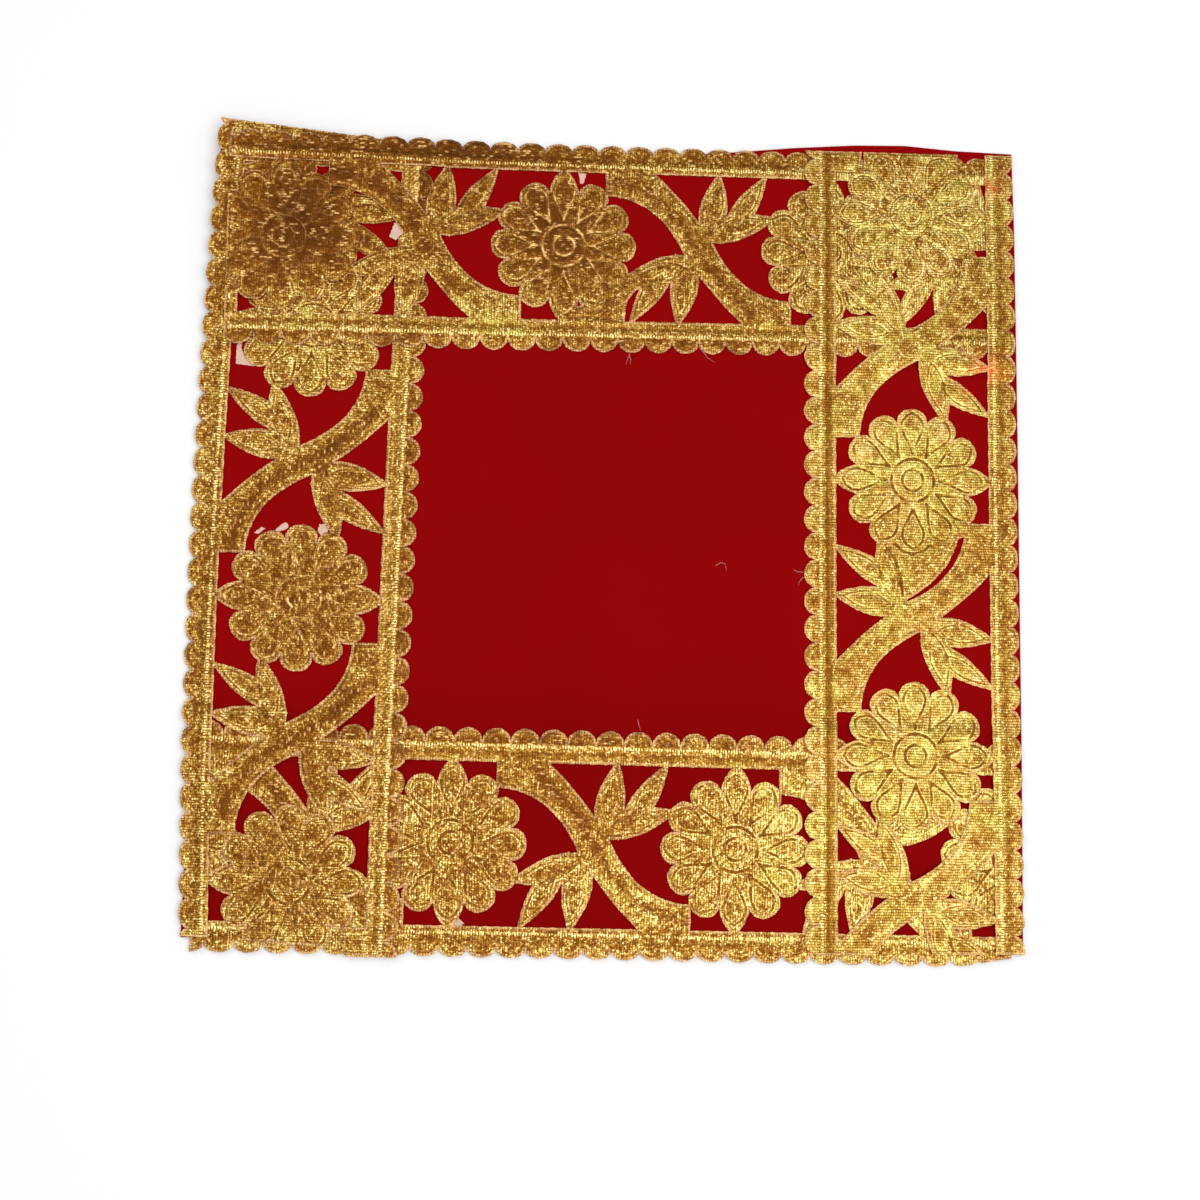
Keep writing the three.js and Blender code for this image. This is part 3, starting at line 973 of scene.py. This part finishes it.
# Left ribbon
# The same ribbon, sewn on second: it lies over the near one at the near left corner. Its far end is cut
# askew and stands out past the far ribbon, and it is a little wider halfway along.
LEFT_WEB = [(-172, -28), (-152, -28), (-152, 28), (-172, 28)]
ribbon_left, left_area = lay_ribbon(
    "ribbon_left",
    Lay(turn=269.66, offset=-104.1, along=0.985, across=0.96, taper=-0.02, swell=0.042, bow=1.9),
    Looks(calm=0.2, inner_shade=0.13, channel_shade=0.3), flower=27.4,
    cuts=[
        (-137.4, -45), (-135.2, -8), (-131.8, 45),
        (145.2, 45), (145.2, 21), (142.6, 17), (139.4, -45),
    ],
    climbs=[("y", -67, -1)], webs=[LEFT_WEB])


# Far ribbon
# The same ribbon, sewn on third, over the left one at the far left corner. Beside one flower the punch
# has left a piece of ground uncut, with lines pressed into it.
FAR_WEB = [
    (-1, 28.1), (-21.4, 28.1), (-21.6, 23.5), (-22.2, 20.1), (-23.6, 17.8), (-25.4, 15.6), (-29.5, 14.4),
    (-27, 9), (-9, 15), (-7.4, 21.2), (-4.4, 22), (-1, 23.5),
]
FAR_MARKS = (
    [(-7, 21.6), (-10.2, 24), (-13.4, 22.4), (-14.6, 19)],
    [(-14.6, 19), (-17.6, 19), (-20.6, 16.4), (-20.2, 14.2)],
    [(-3.2, 25.8), (-20.6, 26.6)],
)
ribbon_top, top_area = lay_ribbon(
    "ribbon_top", Lay(turn=181.07, offset=-99.7, along=0.993, across=0.98, pull=0.018, taper=0.01),
    Looks(calm=0.3, outer_shade=0.12, inner_shade=0.16, channel_shade=0.5), flower=18.4,
    cuts=[(-138.5, -45), (-138.5, 45), (131.7, 45), (131.1, -45)],
    climbs=[("x", -64.5, -1)], webs=[FAR_WEB], marks=FAR_MARKS)


# Right ribbon
# The same ribbon, sewn on last, over the far and the near ones, and the brightest of the four. One
# opening beside its middle flower is uncut.
RIGHT_WEB = [
    (-14, 12), (-20, 13), (-42, 6), (-41.8, 2.5), (-39.6, -1.2), (-36.1, -5.9), (-29.8, -11.8),
    (-22.7, -15.3), (-19.9, -16.2), (-19.3, -18.9), (-14.2, -19), (-13, -14),
]
RIGHT_END_WEB = [(111, -17), (120, -17), (120, 17), (111, 17)]
RIGHT_MARKS = (
    [(-22.7, 9.3), (-26.9, 6.7), (-31.4, 5), (-36.4, 4.2), (-40.4, 3.8)],
    [
        (-24.1, 9.2), (-22.3, 6.3), (-24.7, 4.2), (-25.9, 0.4), (-25, -3.2), (-22.6, -6), (-24.2, -9),
        (-23.4, -13.4),
    ],
)
ribbon_right, right_area = lay_ribbon(
    "ribbon_right", Lay(turn=90.54, offset=-103, across=0.99), Looks(calm=1.0), flower=19.9,
    cuts=[(-141.2, -45), (-142.4, 45), (136.9, 45), (138.2, -45)],
    climbs=[("y", -67, -1), ("y", 61.5, 1)], webs=[RIGHT_WEB, RIGHT_END_WEB], marks=RIGHT_MARKS)


# Scraps and loose threads
# Bits of the ribbon's pale backing that the punch left in the openings, and a few short ends of fluffy
# thread on the red cloth. They lie loose, caught at the edges of the ribbons.
SCRAP_THICKNESS = 0.04
SCRAP_STEP = 0.8
FRAY = 0.1
# Each scrap as (height over the red cloth, outline). One of them lies on a ribbon.
SCRAPS = (
    (0.05, [(-15.8, 126), (-13, 125.8), (-13.9, 122.3), (-15, 122)]),
    (0.89, [(-79, 104.3), (-76.9, 104.3), (-75, 102.8), (-75.1, 101.7), (-78.4, 98.3), (-80.6, 99.4)]),
    (0.05, [
        (-130.7, 58.3), (-130.2, 61.6), (-128.8, 61.2), (-129.1, 58.3), (-127.9, 55.3), (-123.7, 52.7),
        (-124.7, 52), (-130.7, 52.6),
    ]),
    (0.05, [(-100.2, -1.6), (-97.6, -1.3), (-97.3, -3.8), (-99.6, -5.5), (-100.8, -3.8)]),
    (0.05, [(-114.9, -4.3), (-114.1, -3), (-111.5, -1.2), (-110.6, -2.2), (-110.8, -3.3), (-113.7, -4.6)]),
    (0.05, [(-122, -5.2), (-119.5, -3.2), (-118.1, -3.7), (-120.7, -5.5)]),
    (0.05, [(-49.8, -131.1), (-47.2, -133.3), (-48.6, -134.5), (-51.3, -133.8)]),
)
BACKING_SHADE = srgb(206, 164, 140)
BACKING_LIGHT = srgb(232, 204, 182)
BACKING_FLECKS = 700

THREAD_RADIUS = 0.17
THREAD_SIDES = 6
THREAD_STEP = 0.35
THREAD_GAP = 0.02
# How far a thread's middle stands off the cloth, how thin its tips are, and how far along its swell
# it starts, which leaves one tip thicker.
THREAD_ARCH = 0.35
THREAD_TIP = 0.4
THREAD_START = 0.15
THREAD_COLOUR = srgb(186, 104, 102)
THREAD_FACET_ANGLE = 60
THREADS = (
    [(3.7, 62.2), (2.9, 59.9), (2.3, 58.1)],
    [(3.2, 61.6), (3.9, 59.8), (3.8, 58.1)],
    [(27.2, 65.7), (29.4, 63.1), (30.7, 61.4), (33.2, 60.1)],
    [(34.5, -11.2), (36.2, -10.2), (37.7, -10.5), (38.4, -12.6)],
    [(61.5, -11.7), (62.8, -12.4), (64.9, -12.5), (65.8, -13.6)],
    [(64.9, -14), (63.4, -16), (63.2, -17.1)],
    [(8.9, -64.5), (9.3, -66.2), (10, -68.3)],
)


def small_piece(name, vertices, faces, shader):
    mesh = bpy.data.meshes.new(name)
    mesh.from_pydata(vertices, [], faces)
    piece = bpy.data.objects.new(name, mesh)
    bpy.context.collection.objects.link(piece)
    piece.data.materials.append(shader)
    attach(piece, "root")
    return piece


vertices, faces = [], []
for height, outline in SCRAPS:
    outline = spaced_outline(outline, SCRAP_STEP)
    faces.append([len(vertices) + k for k in range(len(outline))])
    for x, y in counter_clockwise(outline):
        frayed = FRAY * math.sin(5.3 * x + 3.1 * y)
        vertices.append(on_part(x + frayed, y - frayed, cloth_top(x, y) + height))
backing = Nodes("pale_backing")
backing.shader.inputs["Roughness"].default_value = 0.85
backing_place = backing.add("ShaderNodeTexCoord").outputs["Object"]
backing_colour = backing.mix(backing.noise(backing_place, BACKING_FLECKS, 3.0), BACKING_SHADE, BACKING_LIGHT)
backing.feed(backing.shader.inputs["Base Color"], backing_colour)
scraps = small_piece("backing_scraps", vertices, faces, backing.material)
thicken(scraps, SCRAP_THICKNESS)


def thread_ring(line, index):
    """The points round one place of a thread, which is thin at its tips and stands up in its middle."""
    x, y = line[index]
    part = index / (len(line) - 1)
    before, after = line[max(index - 1, 0)], line[min(index + 1, len(line) - 1)]
    run = Vector((after[0] - before[0], after[1] - before[1])).normalized()
    fullness = math.sin(math.pi * min(part + THREAD_START, 1))
    radius = THREAD_RADIUS * (THREAD_TIP + (1 - THREAD_TIP) * fullness)
    middle = cloth_top(x, y) + (THREAD_RADIUS + THREAD_GAP + THREAD_ARCH * math.sin(math.pi * part))
    points = []
    for side in range(THREAD_SIDES):
        turn = 2 * math.pi * side / THREAD_SIDES
        out = radius * math.cos(turn)
        points.append(on_part(x - run.y * out, y + run.x * out, middle + radius * math.sin(turn)))
    return points


vertices, faces = [], []
for strand in THREADS:
    line = spaced(strand, THREAD_STEP)
    start = len(vertices)
    for index in range(len(line)):
        vertices += thread_ring(line, index)
    for index in range(len(line) - 1):
        first = start + index * THREAD_SIDES
        for side in range(THREAD_SIDES):
            a, b = first + side, first + (side + 1) % THREAD_SIDES
            faces.append((a, b, b + THREAD_SIDES, a + THREAD_SIDES))
    faces.append([start + side for side in reversed(range(THREAD_SIDES))])
    faces.append([len(vertices) - THREAD_SIDES + side for side in range(THREAD_SIDES)])
fluff = Nodes("fluffy_thread")
fluff.shader.inputs["Base Color"].default_value = THREAD_COLOUR
fluff.shader.inputs["Roughness"].default_value = 0.9
threads = small_piece("loose_threads", vertices, faces, fluff.material)
only_select(threads)
bpy.ops.object.shade_smooth_by_angle(angle=math.radians(THREAD_FACET_ANGLE))


# Camera, surface and light
# The camera looks down from in front, turned a little. The surface is plain and pale, and two broad
# soft lights hang over it.
EYE = (-44.9, -99.2, 593.9)
UP = Vector((-0.0319, 0.9919, 0.1232))
AIM = (-4.7, -24.2, 0.0)
LENS = 52.94
SENSOR = 36
NEAREST_SEEN = 0.01
camera_data = bpy.data.cameras.new("camera")
camera_data.lens = LENS
camera_data.sensor_width = SENSOR
camera_data.clip_start = NEAREST_SEEN
camera = bpy.data.objects.new("camera", camera_data)
bpy.context.collection.objects.link(camera)
eye = on_part(*EYE)
back = (eye - on_part(*AIM)).normalized()
right = UP.cross(back).normalized()
camera.matrix_world = Matrix.Translation(eye) @ Matrix((right, back.cross(right), back)).transposed().to_4x4()
bpy.context.scene.camera = camera

# In metres, with the surface a hair below the cloth.
SURFACE_SIZE = 6
SURFACE_Z = -0.0002
bpy.ops.object.select_all(action="DESELECT")
bpy.ops.mesh.primitive_plane_add(size=SURFACE_SIZE)
surface = bpy.context.object
surface.name = "surface"
surface.location.z = SURFACE_Z
paper = Nodes("pale_surface")
paper.shader.inputs["Base Color"].default_value = (0.96, 0.96, 0.96, 1)
paper.shader.inputs["Roughness"].default_value = 0.9
surface.data.materials.append(paper.material)

# Each light as (name, place, size, power).
LIGHTS = (
    ("overhead", (0.25, -0.15, 1.1), 1.2, 9.6),
    ("window", (-0.9, 0.7, 1.0), 0.8, 3.8),
)
ROOM_LIGHT = 0.45
for name, place_of_light, size, power in LIGHTS:
    data = bpy.data.lights.new(name, "AREA")
    data.size = size
    data.energy = power
    light = bpy.data.objects.new(name, data)
    light.location = place_of_light
    light.rotation_euler = Vector(place_of_light).to_track_quat("Z", "Y").to_euler()
    bpy.context.collection.objects.link(light)
world = bpy.data.worlds.new("studio")
world.use_nodes = True
world.node_tree.nodes["Background"].inputs[0].default_value = (1, 1, 1, 1)
world.node_tree.nodes["Background"].inputs[1].default_value = ROOM_LIGHT
bpy.context.scene.world = world
bpy.context.scene.view_settings.view_transform = "Standard"
